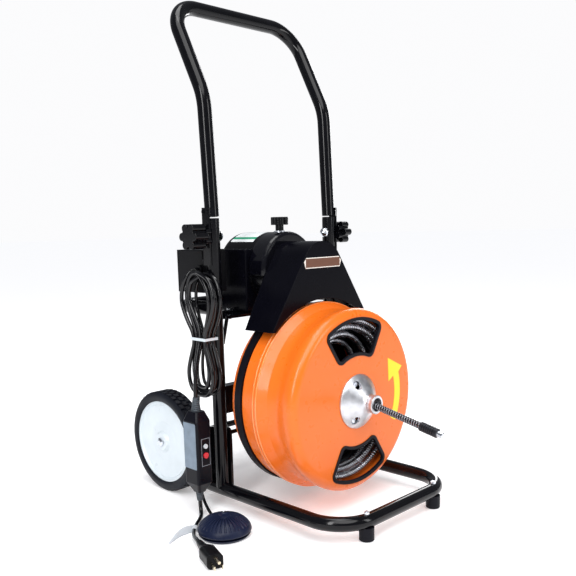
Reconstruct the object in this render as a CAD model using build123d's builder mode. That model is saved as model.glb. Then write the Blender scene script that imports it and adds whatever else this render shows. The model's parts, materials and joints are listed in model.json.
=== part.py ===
from build123d import *

import os
from math import acos, atan2, cos, degrees, hypot, pi, radians, sin, sqrt, tan

# Drum drain-cleaning machine on a wheeled frame with a folding handle.
# Millimetres. +X is the right side, -Y the front, where the cable comes out, and +Z is up.
# The floor is Z = 0, and the origin is below the middle of the machine's footprint.

# ---------------------------------------------------------------- driving dimensions
# Frame: one size of round steel tube throughout
tube_d = 25.4
tube_wall = 1.8
leg_x = 155.5               # posts, base legs and handle legs, from the middle plane
post_y = 66.0
post_top = 536.0
base_z = 33.0
base_front_y = -235.6
base_rear_y = 116.0
base_bend = 70.0
loop_z = 376.0
loop_rear_y = 172.0
cross_rod_d = 8.0
cross_rod_z = 138.0
foot_x = 98.0
foot_d = 26.0

# Handle, hinged at the post tops
pivot_z = 506.0
bolt_d = 8.0
handle_bottom = 540.0
handle_knee = (76.0, 747.0)     # Y, Z of the bend half way up
handle_top = (164.0, 917.0)     # Y, Z of the grip
plate_t = 3.5
plate_w = 18.0
plate_bottom = 455.0
plate_top = 556.0
knob_left_x = 205.0             # the left bolt stands out further than the right one
knob_right_x = 195.0

# Wheels
wheel_r = 101.6
wheel_y = 216.0
axle_d = 12.7
disc_r = 82.0
wheel_in = 145.3
wheel_out = 186.0
bracket_t = 5.0

# Drum
drum_z = 205.4
drum_back_y = 22.0
drum_front_y = -137.0
seam_y = -49.0
seam_r = 175.0
land_r = 168.0                  # where the belt runs
rim_r = 168.0
neck_r = 160.5
skin = 2.5
slot_out = 151.0
slot_in = 85.0
slot_half_angle = 31.0
slot_angles = (93.0, -88.0)
centre_hole_r = 30.0
nozzle_screw_angles = (115.0, 235.0, 355.0)
nozzle_screw_r = 37.0
belt_y = -4.5
belt_w = 16.0
belt_t = 5.1
axle_stub_r = 8.0

# Cable
cable_d = 12.7
cable_wire = 3.0
cable_droop = 11.8              # degrees below level
cable_ref = (-179.0, 203.0)     # Y, Z of the middle of the cable at the nozzle lip
cable_inner_y = -105.0
coupling_y = (-274.0, -308.0)
cable_tip_y = -318.0

# Motor and its covers
motor_z = 438.6
motor_r = 71.5
motor_back_y = 164.0
hump_r = 72.0
hump_y = (26.0, 66.0)
pulley_r = 18.0
guard_top_r = 54.0
guard_slope = 33.8              # degrees of each side from vertical
guard_bottom = 338.0
guard_front_y = -57.0
guard_arch_r = 182.0
sheet = 2.0
cradle_half = 79.0
cradle_y = (66.3, 146.0)
cradle_z = (361.0, 480.0)

# Switch box behind the left post
box_x = (-166.0, -110.0)
box_y = (86.0, 158.0)
box_z = (404.0, 482.0)
lid_t = 2.5
gland_y = 92.0
gland_z = 447.0
barb_y = 112.0
barb_z = 436.0
rocker_at = (-138.0, 155.0, 452.0)
rocker_r = 11.0
rocker_w = 12.0

# Power cord, air hose and what is on them
cord_d = 7.6
hose_d = 6.0
hank_x = (-200.0, -172.0)
gfci_x = -215.0
gfci_y = 61.0
gfci_z = (45.0, 197.0)
gfci_w = 34.0
gfci_l = 40.0
pedal_centre = (-244.0, -41.0)
pedal_r = 47.0
pedal_top = 36.0
pedal_base_t = 4.5
pedal_travel = 4.0
plug_z = 12.5
plug_rear = (-312.0, -56.0)
plug_heading = -110.4           # degrees from +X

fit_gap = 0.06                  # radial running clearance

tube_r = tube_d / 2
sides = (("left", -1), ("right", 1))
drum_plane = Plane(origin=(0, 0, drum_z), x_dir=(0, 1, 0), z_dir=(1, 0, 0))
drum_axis = Axis((0, 0, drum_z), (0, 1, 0))
motor_plane = Plane(origin=(0, 0, motor_z), x_dir=(0, 1, 0), z_dir=(1, 0, 0))
motor_axis = Axis((0, 0, motor_z), (0, 1, 0))
wheel_plane = Plane(origin=(0, wheel_y, wheel_r), x_dir=(1, 0, 0), z_dir=(0, -1, 0))
wheel_axis = Axis((0, wheel_y, wheel_r), (1, 0, 0))

os.makedirs("parts", exist_ok=True)


# ---------------------------------------------------------------- helpers
def save(piece, name):
    """Label a finished piece and write its STEP file."""
    piece.label = name
    export_step(piece, f"parts/{name}.step")


def pipe(points, radius, diameter, bore=0.0):
    """A round tube whose middle line is straight runs joined by tangent arcs."""
    with BuildPart() as made:
        with BuildLine() as path:
            FilletPolyline(*points, radius=radius)
        with BuildSketch(Plane(origin=path.line @ 0, z_dir=path.line % 0)):
            Circle(diameter / 2)
            if bore:
                Circle(bore / 2, mode=Mode.SUBTRACT)
        sweep()
    return made.part


def turned(plane, axis, outline):
    """A solid of revolution from a closed outline of (along, radius) points."""
    with BuildPart() as made:
        with BuildSketch(plane):
            with BuildLine():
                Polyline(*outline, close=True)
            make_face()
        revolve(axis=axis)
    return made.part


def rod(start, end, diameter):
    """A straight round rod from one point to another."""
    way = Vector(*end) - Vector(*start)
    with BuildPart() as made:
        with BuildSketch(Plane(origin=start, z_dir=way)):
            Circle(diameter / 2)
        extrude(amount=way.length)
    return made.part


def slab(x, y, z, edge=0.0):
    """A box between two limits on each axis, with its edges rounded by edge."""
    with BuildPart() as made:
        with Locations(((x[0] + x[1]) / 2, (y[0] + y[1]) / 2, (z[0] + z[1]) / 2)):
            Box(x[1] - x[0], y[1] - y[0], z[1] - z[0])
        if edge:
            fillet(made.edges(), edge)
    return made.part


def joined(pieces):
    """Separate or touching solids as one labelled piece."""
    return Compound(children=[solid for piece in pieces for solid in piece.solids()])


def leg_rod(x, diameter=tube_d):
    """The full round volume of a base leg, for coping what meets it."""
    return rod((x, base_front_y, base_z), (x, base_rear_y + 1, base_z), diameter)


def post_rod(x, diameter=tube_d):
    """The full round volume of a post, for coping what meets it."""
    return rod((x, post_y, 0), (x, post_y, post_top), diameter)


def cord_radii(points):
    """The largest arc each corner of a cord's route has room for."""
    radii = []
    for before, here, after in zip(points, points[1:], points[2:]):
        run_in = Vector(*here) - Vector(*before)
        run_out = Vector(*after) - Vector(*here)
        turn = radians(run_in.get_angle(run_out))
        radii.append(0.45 * min(run_in.length, run_out.length) / tan(turn / 2))
    return radii


def cord_tube(name, points, diameter):
    """The plain tube of one stretch of cord, with its radii and volume printed."""
    radii = cord_radii(points)
    part = pipe(points, radii, diameter)
    print(name, "radii", [round(r) for r in radii], "length",
          round(part.volume / (pi * diameter ** 2 / 4)))
    return part


# ---------------------------------------------------------------- frame
def base_tube(bore):
    """The base's bent tube, hollow or full."""
    path = [(-leg_x, base_rear_y, base_z), (-leg_x, base_front_y, base_z),
            (leg_x, base_front_y, base_z), (leg_x, base_rear_y, base_z)]
    return pipe(path, base_bend, tube_d, bore)


def make_base_frame():
    """The U-shaped base tube, with a screw hole over each front foot."""
    base = base_tube(tube_d - 2 * tube_wall)
    for x in (-foot_x, foot_x):
        base -= rod((x, base_front_y, 0), (x, base_front_y, 60), 5.2)
    save(base, "base_frame")


def make_posts():
    """Two posts, coped onto the base legs, with a cross hole for the fold bolt."""
    posts = []
    for _, sign in sides:
        x = sign * leg_x
        post = post_rod(x) - post_rod(x, tube_d - 2 * tube_wall) - leg_rod(x)
        post -= slab((x - 20, x + 20), (post_y - 20, post_y + 20), (-1, base_z))
        post -= rod((x - 20, post_y, pivot_z), (x + 20, post_y, pivot_z), bolt_d)
        posts.append(post)
    save(joined(posts), "posts")


def make_tube_plugs():
    """Plastic plugs in the open ends of the base legs and the posts."""
    plugs = []
    bore = tube_d - 2 * tube_wall
    for _, sign in sides:
        x = sign * leg_x
        plugs.append(rod((x, base_rear_y - 10, base_z), (x, base_rear_y, base_z), bore))
        plugs[-1] += rod((x, base_rear_y, base_z), (x, base_rear_y + 2.5, base_z), tube_d - 1)
        plugs.append(rod((x, post_y, post_top - 10), (x, post_y, post_top), bore))
        plugs[-1] += rod((x, post_y, post_top), (x, post_y, post_top + 1.5), tube_d - 1)
    save(joined(plugs), "tube_plugs")


def make_cross_members():
    """The box-section beam that carries the drum, and the thin rod below it."""
    half_depth, half_height, wall = 10.0, 26.0, 2.5
    ends = post_rod(-leg_x) + post_rod(leg_x)
    beam = slab((-leg_x, leg_x), (post_y - half_depth, post_y + half_depth),
                (drum_z - half_height, drum_z + half_height))
    beam -= slab((-leg_x, leg_x), (post_y - half_depth + wall, post_y + half_depth - wall),
                 (drum_z - half_height + wall, drum_z + half_height - wall))
    beam = beam - ends - rod((0, 0, drum_z), (0, 120, drum_z), 2 * axle_stub_r)
    reach = leg_x - tube_r - bracket_t
    thin = rod((-reach, post_y, cross_rod_z), (reach, post_y, cross_rod_z), cross_rod_d)
    save(joined([beam, thin]), "cross_members")


def make_rear_loop():
    """The bumper tube behind the motor, coped onto the posts."""
    path = [(-leg_x, post_y, loop_z), (-leg_x, loop_rear_y, loop_z),
            (leg_x, loop_rear_y, loop_z), (leg_x, post_y, loop_z)]
    loop = pipe(path, 35, tube_d, tube_d - 2 * tube_wall)
    save(loop - post_rod(-leg_x) - post_rod(leg_x), "rear_loop")


def make_axle_brackets():
    """Plates from each post and base leg back to the wheel axle."""
    outline = [(54, 24), (122, 24), (230, 88), (230, 116), (206, 122), (80, 150), (54, 150)]
    plates = []
    for _, sign in sides:
        inner = leg_x - tube_r - bracket_t
        with BuildPart() as plate:
            with BuildSketch(Plane.YZ.offset(sign * inner)) as sketch:
                with BuildLine():
                    Polyline(*outline, close=True)
                make_face()
                fillet(sketch.vertices(), 9)
                with Locations((wheel_y, wheel_r)):
                    Circle(axle_d / 2 + fit_gap, mode=Mode.SUBTRACT)
            extrude(amount=sign * bracket_t)
        plates.append(plate.part)
    save(joined(plates), "axle_brackets")


def make_feet():
    """Rubber front feet saddled under the base tube; returns their screws and nuts."""
    feet, screws = [], []
    tube = base_tube(0.0)
    for x in (-foot_x, foot_x):
        with BuildPart() as foot:
            with Locations((x, base_front_y, 0)):
                Cylinder(foot_d / 2, 24, align=(Align.CENTER, Align.CENTER, Align.MIN))
            chamfer(foot.faces().sort_by(Axis.Z)[0].edges(), 1.5)
        hole = rod((x, base_front_y, -1), (x, base_front_y, 30), 5.2)
        sink = rod((x, base_front_y, -1), (x, base_front_y, 7), 10.4)
        feet.append(foot.part - tube - hole - sink)
        shank = rod((x, base_front_y, 4), (x, base_front_y, 51), 5.0)
        head = rod((x, base_front_y, 4), (x, base_front_y, 7), 10.0)
        with BuildPart() as nut:
            with BuildSketch(Plane((x, base_front_y, base_z + tube_r))):
                RegularPolygon(4.6, 6)
            extrude(amount=3.6)
        screws.append(shank + head + nut.part)
    save(joined(feet), "front_feet")
    return screws


# ---------------------------------------------------------------- wheels
def mirrored_outline(sign, outline):
    """The same outline on the left or the right side."""
    return [(sign * x, r) for x, r in outline]


def make_wheels():
    """Solid wheels on a plain axle: a dished disc, a rubber tyre, washers and push caps."""
    bore = axle_d / 2 + fit_gap
    disc = [(wheel_in, bore), (wheel_in, 15), (158, 18), (162, 24), (162, 70), (151, 76),
            (151, disc_r), (183, disc_r), (184.5, 78), (180, 74), (178, 40), (181, 22),
            (wheel_out, 17), (wheel_out, bore)]
    tyre = [(149, disc_r), (146, 86), (145, 92), (148, 98), (155, wheel_r), (176, wheel_r),
            (183, 98), (186, 92), (185.5, 85), (183, disc_r)]
    washer = [(leg_x - tube_r, bore), (leg_x - tube_r, 11), (wheel_in - 0.3, 11),
              (wheel_in - 0.3, bore)]
    cap = [(wheel_out + 0.3, axle_d / 2), (wheel_out + 0.3, 9), (wheel_out + 3, 8.4),
           (wheel_out + 5.5, 4), (wheel_out + 6, 0), (wheel_out + 4, 0),
           (wheel_out + 4, axle_d / 2)]
    washers, caps = [], []
    for side, sign in sides:
        save(turned(wheel_plane, wheel_axis, mirrored_outline(sign, disc)), f"wheel_disc_{side}")
        save(turned(wheel_plane, wheel_axis, mirrored_outline(sign, tyre)), f"tyre_{side}")
        washers.append(turned(wheel_plane, wheel_axis, mirrored_outline(sign, washer)))
        caps.append(turned(wheel_plane, wheel_axis, mirrored_outline(sign, cap)))
    save(joined(washers + caps), "wheel_retainers")
    reach = wheel_out + 4
    save(rod((-reach, wheel_y, wheel_r), (reach, wheel_y, wheel_r), axle_d), "wheel_axle")


# ---------------------------------------------------------------- drum
def slot_prism(y, angle, grow, depth):
    """A ring-sector block with rounded corners, grown by grow, reaching forward from y."""
    reach = 2 * slot_out
    left, right = radians(angle + slot_half_angle), radians(angle - slot_half_angle)
    with BuildPart() as made:
        with BuildSketch(Plane(origin=(0, y, drum_z), x_dir=(1, 0, 0), z_dir=(0, -1, 0))) as sketch:
            Circle(slot_out)
            Circle(slot_in, mode=Mode.SUBTRACT)
            with BuildLine():
                Polyline((0, 0), (reach * cos(left), reach * sin(left)),
                         (reach * cos(right), reach * sin(right)), close=True)
            make_face(mode=Mode.INTERSECT)
            fillet(sketch.vertices(), 12)
            if grow:
                offset(amount=grow, mode=Mode.REPLACE)
        extrude(amount=depth)
    return made.part


def front_shell_volume(inset):
    """The front half of the drum as a full volume, inset on every side."""
    edge = 15.0
    front = drum_front_y + inset
    with BuildPart() as made:
        with BuildSketch(drum_plane):
            with BuildLine():
                crease = Line((seam_y, seam_r - inset), (seam_y - 5, seam_r - inset))
                slope = Line(crease @ 1, (-70, 164 - inset))
                waist = Spline(slope @ 1, (-92, neck_r - inset), (drum_front_y + edge, rim_r - inset),
                               tangents=[(-1, -0.35), (-1, 0)])
                rim = ThreePointArc(waist @ 1,
                                    (drum_front_y + edge - (edge - inset) * sin(pi / 4),
                                     rim_r - edge + (edge - inset) * cos(pi / 4)),
                                    (front, rim_r - edge))
                Polyline(rim @ 1, (front, 0), (seam_y, 0), crease @ 0)
            make_face()
        revolve(axis=drum_axis)
    return made.part


def make_drum_front():
    """The front shell: a waisted skin with two slots and the hole behind the nozzle."""
    shell = front_shell_volume(0) - front_shell_volume(skin)
    shell -= rod((0, drum_front_y - 5, drum_z), (0, -100, drum_z), 2 * centre_hole_r)
    shell -= turned(drum_plane, drum_axis, [(seam_y - skin - 1, 0), (seam_y - skin - 1, seam_r - skin),
                                            (seam_y + 1, seam_r - skin), (seam_y + 1, 0)])
    for angle in slot_angles:
        shell -= slot_prism(drum_front_y + 8, angle, 0, 12)
    for angle in nozzle_screw_angles:
        shell -= screw_hole(angle)
    save(shell, "drum_front_shell")


def make_drum_rear():
    """The rear shell: belt land, rear wall and the bead that meets the front shell."""
    back = drum_back_y
    outline = [(seam_y, seam_r), (seam_y + 4, seam_r), (seam_y + 6.5, 171), (seam_y + 9, 170.2),
               (belt_y - 9.5, 170.2), (belt_y - 9, land_r), (belt_y + 9, land_r),
               (belt_y + 9.5, 169.6), (belt_y + 15, 168.5), (back - 5, 165.5), (back - 1.2, 162),
               (back, 158), (back, 20), (back - skin, 20), (back - skin, 156),
               (back - 6, 162), (belt_y + 12, 165.3), (seam_y + 9, 165.3), (seam_y + skin, 171),
               (seam_y, 171)]
    save(turned(drum_plane, drum_axis, outline), "drum_rear_shell")


def make_slot_trims():
    """A rubber edging round each slot: a lip on the face and a liner inside the edge."""
    trims = []
    for angle in slot_angles:
        liner = slot_prism(drum_front_y + 4, angle, 0, 5.6)
        lip = slot_prism(drum_front_y, angle, 1.8, 1.6)
        trims.append(liner + lip - slot_prism(drum_front_y + 5, angle, -4.0, 8))
    save(joined(trims), "slot_trims")


def nozzle_point(angle, y):
    """A point on a nozzle screw's middle line."""
    return (nozzle_screw_r * cos(radians(angle)), y, drum_z + nozzle_screw_r * sin(radians(angle)))


def screw_hole(angle):
    """The hole of one nozzle screw, through flange and shell."""
    return rod(nozzle_point(angle, drum_front_y + 8), nozzle_point(angle, -150), 5.0)


def make_nozzle():
    """The cast outlet with its three screw pockets, and every screw that turns with the drum."""
    y = drum_front_y
    with BuildPart() as cast:
        with BuildSketch(drum_plane):
            with BuildLine():
                foot = Polyline((y, 40), (y, 50), (y - 2.5, 50))
                bell = Spline(foot @ 1, (y - 10, 41.5), (y - 20, 27), (y - 31, 14.6),
                              tangents=[(-1, -0.75), (-1, -0.25)])
                Polyline(bell @ 1, (y - 38, 16.6), (y - 44, 16.9), (y - 45, 15.8), (y - 45, 12.4),
                         (y - 32, 11.6), (y - 24, 17.5), (y - 12, 32), (y, 40))
            make_face()
        revolve(axis=drum_axis)
    nozzle = cast.part
    screws = []
    for angle in nozzle_screw_angles:
        nozzle -= rod(nozzle_point(angle, y - 5), nozzle_point(angle, y - 40), 15.0)
        nozzle += rod(nozzle_point(angle, y), nozzle_point(angle, y - 5), 15.0)
        nozzle -= screw_hole(angle)
        screws.append(rod(nozzle_point(angle, y + 6), nozzle_point(angle, y - 5), 5.0)
                      + rod(nozzle_point(angle, y - 5), nozzle_point(angle, y - 8.5), 9.5))
    nozzle -= rod((0, y + 1, drum_z), (0, y - 5, drum_z), 2 * centre_hole_r - 6)
    save(nozzle, "hub_nozzle")
    for turn in range(4):
        x, z = 28 * cos(turn * pi / 2), drum_z + 28 * sin(turn * pi / 2)
        screws.append(rod((x, drum_back_y + 5, z), (x, drum_back_y + 9, z), 8))
    save(joined(screws), "drum_screws")


def make_arrow():
    """The curved arrow decal that shows which way the drum turns."""
    face = Plane(origin=(0, drum_front_y, drum_z), x_dir=(1, 0, 0), z_dir=(0, -1, 0))
    inner, outer, tail, neck = 111.0, 128.0, -27.0, 16.0

    def polar(radius, angle):
        return (radius * cos(radians(angle)), radius * sin(radians(angle)))

    with BuildPart() as decal:
        with BuildSketch(face):
            with BuildLine():
                Line(polar(inner, tail), polar(outer, tail))
                ThreePointArc(polar(outer, tail), polar(outer, (tail + neck) / 2), polar(outer, neck))
                Polyline(polar(outer, neck), polar(141, neck + 3), polar(112, 36.6), polar(95, neck - 3),
                         polar(inner, neck))
                ThreePointArc(polar(inner, neck), polar(inner, (tail + neck) / 2), polar(inner, tail))
            make_face()
        extrude(amount=0.3)
    save(decal.part, "rotation_arrow")


def make_coil():
    """The cable stored in the drum: hollow turns in two layers against the outer wall."""
    pitch = cable_d + 0.5
    turns = []
    for layer, (first, count, radius) in enumerate(((-112.0, 8, 147.0), (-105.4, 7, 133.8))):
        for turn in range(count):
            with BuildPart() as ring:
                with BuildSketch(drum_plane):
                    with Locations((first + turn * pitch, radius)):
                        Circle(cable_d / 2)
                        Circle(cable_d / 2 - cable_wire, mode=Mode.SUBTRACT)
                revolve(axis=drum_axis)
            turns.append(ring.part)
    save(joined(turns), "cable_coil")


def make_drum_bearing():
    """The bearing hub on the rear shell and the fixed stub axle in it; returns the axle's nuts."""
    bore = axle_stub_r + fit_gap
    hub = [(-5, bore), (-5, 19.9), (drum_back_y, 19.9), (drum_back_y, 34), (drum_back_y + 5, 34),
           (drum_back_y + 5, 22), (50, 20), (50, bore)]
    save(turned(drum_plane, drum_axis, hub), "drum_bearing")
    axle = [(-14, 0), (-14, axle_stub_r), (50.4, axle_stub_r), (50.4, 13), (56, 13),
            (56, axle_stub_r), (92, axle_stub_r), (92, 0)]
    save(turned(drum_plane, drum_axis, axle), "drum_axle")
    nuts = []
    for y, thick in ((-13, 7.0), (76, 10.0)):
        with BuildPart() as nut:
            with BuildSketch(Plane(origin=(0, y, drum_z), x_dir=(1, 0, 0), z_dir=(0, 1, 0))):
                RegularPolygon(13, 6)
                Circle(axle_stub_r, mode=Mode.SUBTRACT)
            extrude(amount=thick)
        nuts.append(nut.part)
    return nuts


# ---------------------------------------------------------------- cable
def cable_point(y):
    """The point of the cable's middle line at a given Y."""
    return (0.0, y, cable_ref[1] + (y - cable_ref[0]) * tan(radians(cable_droop)))


def make_cable():
    """The straight stretch of cable through the nozzle, its end coupling and its tip."""
    inner, joint, tip = cable_point(cable_inner_y), cable_point(coupling_y[0]), cable_point(coupling_y[1])
    save(rod(inner, joint, cable_d) - rod(inner, joint, cable_d - 2 * cable_wire), "snake_cable")
    with BuildPart() as coupling:
        with BuildSketch(Plane(origin=joint, z_dir=Vector(*tip) - Vector(*joint))):
            Circle(8.3)
        extrude(amount=(Vector(*tip) - Vector(*joint)).length)
        chamfer(coupling.edges().filter_by(GeomType.CIRCLE), 1.2)
    save(coupling.part + rod(tip, cable_point(cable_tip_y), 11.0), "snake_coupling")


# ---------------------------------------------------------------- drive
def belt_block(drum_radius, small_radius):
    """A full block as wide as the belt, bounded by one loop round the drum and the pulley."""
    face = Plane(origin=(0, belt_y - belt_w / 2, 0), x_dir=(1, 0, 0), z_dir=(0, -1, 0))
    slope = acos((drum_radius - small_radius) / (motor_z - drum_z))
    across, rise = sin(slope), cos(slope)
    big = [(s * drum_radius * across, drum_z + drum_radius * rise) for s in (-1, 1)]
    small = [(s * small_radius * across, motor_z + small_radius * rise) for s in (-1, 1)]
    with BuildPart() as made:
        with BuildSketch(face):
            with BuildLine():
                Line(big[0], small[0])
                ThreePointArc(small[0], (0, motor_z + small_radius), small[1])
                Line(small[1], big[1])
                ThreePointArc(big[1], (0, drum_z - drum_radius), big[0])
            make_face()
        extrude(amount=-belt_w)
    return made.part


def make_belt():
    """The flat rubber belt from the motor pulley round the drum."""
    gap = 0.3
    inside = belt_block(land_r + gap, pulley_r + gap)
    save(belt_block(land_r + gap + belt_t, pulley_r + gap + belt_t) - inside, "drive_belt")


def make_motor():
    """The motor can with its feet, the slotted end cap, the shaft and the belt pulley."""
    front, mid, back = 30.0, hump_y[1] + 0.6, motor_back_y - 18
    can = turned(motor_plane, motor_axis, [(front, 6 + fit_gap), (front, 62), (front + 4, 68),
                                           (mid, 68), (mid, motor_r), (back, motor_r), (back, 0),
                                           (62, 0), (62, 6 + fit_gap)])
    for x in (-38, 38):
        for y in (84, 124):
            can += slab((x - 10, x + 10), (y - 9, y + 9), (cradle_z[0] + 3, motor_z - 58))
    save(can, "motor_body")
    rise = [(back, 0), (back, motor_r), (back + 7, 70), (back + 12, 63.5), (back + 16, 50),
            (motor_back_y, 30), (motor_back_y, 0)]
    cap = turned(motor_plane, motor_axis, rise)
    for turn in range(12):
        way = turn * pi / 6
        start = (36 * cos(way), back + 6, motor_z + 36 * sin(way))
        end = (36 * cos(way), motor_back_y + 5, motor_z + 36 * sin(way))
        cap -= rod(start, end, 9)
    save(cap, "motor_end_cap")
    save(rod((0, belt_y - 12, motor_z), (0, 60, motor_z), 12), "motor_shaft")
    half = belt_w / 2 + 0.6
    wheel = [(belt_y - half - 2.5, 6), (belt_y - half - 2.5, 24), (belt_y - half, 24),
             (belt_y - half, pulley_r), (belt_y + half, pulley_r), (belt_y + half, 24),
             (belt_y + half + 2.5, 24), (belt_y + half + 12, 12), (belt_y + half + 12, 6)]
    save(turned(motor_plane, motor_axis, wheel), "motor_pulley")


def make_motor_cradle():
    """The sheet box under the motor, bracket plates and struts on the posts; returns the bolts."""
    wall = 3.0
    cradle = slab((-cradle_half, cradle_half), cradle_y, cradle_z, 2.5)
    cradle -= slab((wall - cradle_half, cradle_half - wall), (cradle_y[0] + wall, cradle_y[1] - wall),
                   (cradle_z[0] + wall, cradle_z[1] - wall))
    cradle -= rod((0, 0, motor_z), (0, 200, motor_z), 2 * motor_r + 0.2)
    plates, struts, bolts = [], [], []
    ear_x, bolt_y, plate_z = 88.0, 106.0, (cradle_z[0] - 5, cradle_z[0])
    for _, sign in sides:
        ear = sorted((sign * (cradle_half - 1), sign * (ear_x + 10)))
        cradle += slab(ear, (bolt_y - 10, bolt_y + 10), (cradle_z[0], cradle_z[0] + wall))
        hole = rod((sign * ear_x, bolt_y, 340), (sign * ear_x, bolt_y, 380), 6.4)
        cradle -= hole
        inner = leg_x - tube_r
        outline = [(sign * inner, post_y - 11), (sign * inner, post_y + 11),
                   (sign * (ear_x + 16), bolt_y + 13), (sign * 52, bolt_y + 13), (sign * 52, post_y - 11)]
        with BuildPart() as plate:
            with BuildSketch(Plane.XY.offset(plate_z[0])) as sketch:
                with BuildLine():
                    Polyline(*outline, close=True)
                make_face()
                fillet(sketch.vertices(), 4)
            extrude(amount=plate_z[1] - plate_z[0])
        plates.append(plate.part - hole - post_rod(sign * leg_x))
        struts.append(rod((sign * (inner - 1), post_y, 309), (sign * (inner - 13), post_y, plate_z[0]), 7)
                      - post_rod(sign * leg_x) - slab((-200, 200), (0, 100), plate_z))
        bolt = rod((sign * ear_x, bolt_y, plate_z[0] - 9), (sign * ear_x, bolt_y, cradle_z[0] + wall), 6.0)
        for z, thick in ((cradle_z[0] + wall, 4.0), (plate_z[0] - 5, 5.0)):
            with BuildPart() as hexagon:
                with BuildSketch(Plane((sign * ear_x, bolt_y, z))):
                    RegularPolygon(5.8, 6)
                extrude(amount=thick)
            bolt += hexagon.part
        bolts.append(bolt)
    save(cradle, "motor_cradle")
    save(joined(plates + struts), "motor_brackets")
    return bolts


def guard_volume(inset, front, back):
    """The guard's full volume: a round top over the motor shaft and two straight sides."""
    slope = radians(guard_slope)
    radius = guard_top_r - inset
    bottom = guard_bottom - (5 if inset else 0)
    edge_x = radius * cos(slope) + (motor_z + radius * sin(slope) - bottom) * tan(slope)
    face = Plane(origin=(0, front, 0), x_dir=(1, 0, 0), z_dir=(0, -1, 0))
    with BuildPart() as made:
        with BuildSketch(face):
            with BuildLine():
                tangent = (radius * cos(slope), motor_z + radius * sin(slope))
                Polyline(tangent, (edge_x, bottom), (-edge_x, bottom), (-tangent[0], tangent[1]))
                ThreePointArc((-tangent[0], tangent[1]), (0, motor_z + radius), tangent)
            make_face()
        extrude(amount=front - back)
    return made.part


def make_guard():
    """The belt guard, its humped rear half and the knob on top; returns the knob's washer."""
    guard = guard_volume(0, guard_front_y, hump_y[0]) - guard_volume(sheet, guard_front_y + sheet, 60)
    guard -= rod((0, guard_front_y - 5, drum_z), (0, guard_front_y + 5, drum_z), 2 * guard_arch_r)
    with BuildPart() as rear_cut:
        with BuildSketch(Plane.YZ.offset(-150)):
            with BuildLine():
                Polyline((14, guard_bottom - 10), (14, guard_bottom), (hump_y[0], 431), (60, 431),
                         (60, guard_bottom - 10), close=True)
            make_face()
        extrude(amount=300)
    save(guard - rear_cut.part, "belt_guard")
    hump = turned(motor_plane, motor_axis, [(hump_y[0], 10), (hump_y[0], hump_r - 6),
                                            (hump_y[0] + 2, hump_r - 2), (hump_y[0] + 6, hump_r),
                                            (hump_y[1], hump_r), (hump_y[1], hump_r - sheet),
                                            (hump_y[0] + 6, hump_r - sheet),
                                            (hump_y[0] + sheet, hump_r - 7), (hump_y[0] + sheet, 10)])
    hump -= slab((-100, 100), (0, 100), (300, 431))
    middle = (hump_y[0] + hump_y[1]) / 2 + 7
    top = motor_z + hump_r
    hump -= rod((0, middle, top - 10), (0, middle, top + 10), 6.2)
    save(hump, "guard_hump")
    washer = rod((0, middle, top - 0.6), (0, middle, top + 1.4), 22)
    washer -= rod((0, middle, top - 10), (0, middle, top + 10), 6.2)
    washer -= rod((0, 0, motor_z), (0, 100, motor_z), 2 * hump_r)
    stud = rod((0, middle, top - 3), (0, middle, top + 4), 6.2 - 2 * fit_gap)
    save(lobed_knob(Plane((0, middle, top + 1.6)), 6, 17.0, 15.0, 16.0, 12.0) + stud, "guard_knob")
    return washer


def make_labels():
    """The blank badge on the guard and the blank sticker on the left upper side of the motor."""
    with BuildPart() as badge:
        with BuildSketch(Plane(origin=(0, guard_front_y, 454), x_dir=(1, 0, 0), z_dir=(0, -1, 0))):
            with BuildLine():
                Polyline((-50, 2), (-44, 9.5), (44, 9.5), (50, 2), (46, -9.5), (-46, -9.5), close=True)
            make_face()
        extrude(amount=1.0)
    thick = 0.3
    sleeve = turned(motor_plane, motor_axis, [(79, motor_r), (79, motor_r + thick),
                                              (143, motor_r + thick), (143, motor_r)])
    start, end = radians(96), radians(131)
    with BuildPart() as wedge:
        with BuildSketch(Plane.XZ.offset(-200)):
            with BuildLine():
                Polyline((0, motor_z), (120 * cos(start), motor_z + 120 * sin(start)),
                         (120 * cos(end), motor_z + 120 * sin(end)), close=True)
            make_face()
        extrude(amount=200)
    save(joined([badge.part, sleeve & wedge.part]), "blank_labels")


# ---------------------------------------------------------------- knobs and handle
def lobed_knob(plane, lobes, radius, thick, boss_d, boss_h):
    """A hand knob: a round boss with a lobed head above it."""
    lobe_r = radius * 0.3
    with BuildPart() as knob:
        with BuildSketch(plane.offset(boss_h - 1)) as head:
            Circle(radius - lobe_r)
            with PolarLocations(radius - lobe_r, lobes):
                Circle(lobe_r)
        extrude(amount=thick)
        fillet(knob.faces().sort_by(SortBy.AREA)[-2:].edges(), 1.2)
        with BuildSketch(plane):
            Circle(boss_d / 2)
        extrude(amount=boss_h)
    return knob.part


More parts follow.
